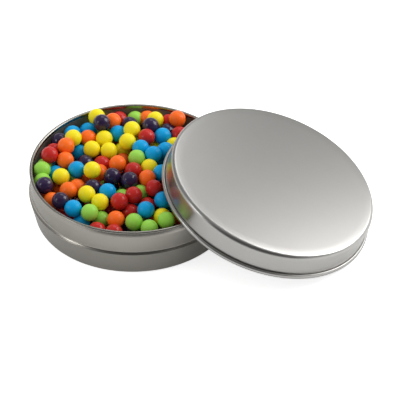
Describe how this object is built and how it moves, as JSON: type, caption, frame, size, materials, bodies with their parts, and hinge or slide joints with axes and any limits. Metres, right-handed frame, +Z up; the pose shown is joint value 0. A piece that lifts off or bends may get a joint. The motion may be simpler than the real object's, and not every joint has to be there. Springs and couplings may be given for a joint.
{
  "type": "round tin",
  "caption": "Shallow round slip-lid tin of bare metal, filled with coloured candy balls, its lid off and leaning on the rim",
  "frame": {"origin": "Centre of the tin's flat base, on the table", "axes": "+Z up; +X to the right, toward the side that the lid leans over; +Y away from the viewer"},
  "size_m": [0.1971, 0.138, 0.052],
  "materials": {
    "tin_steel": "satin",
    "lid_steel": "satin",
    "candy_shade": "glossy"
  },
  "bodies": {
    "tin": {"tin_body": "tin_steel", "candies": "candy_shade"},
    "lid": {"lid": "lid_steel"}
  },
  "joints": [
    {"name": "lid_lift", "type": "slide", "parent": "tin", "child": "lid", "axis": [0, 0, 1], "range_m": [0, 0.08]}
  ]
}
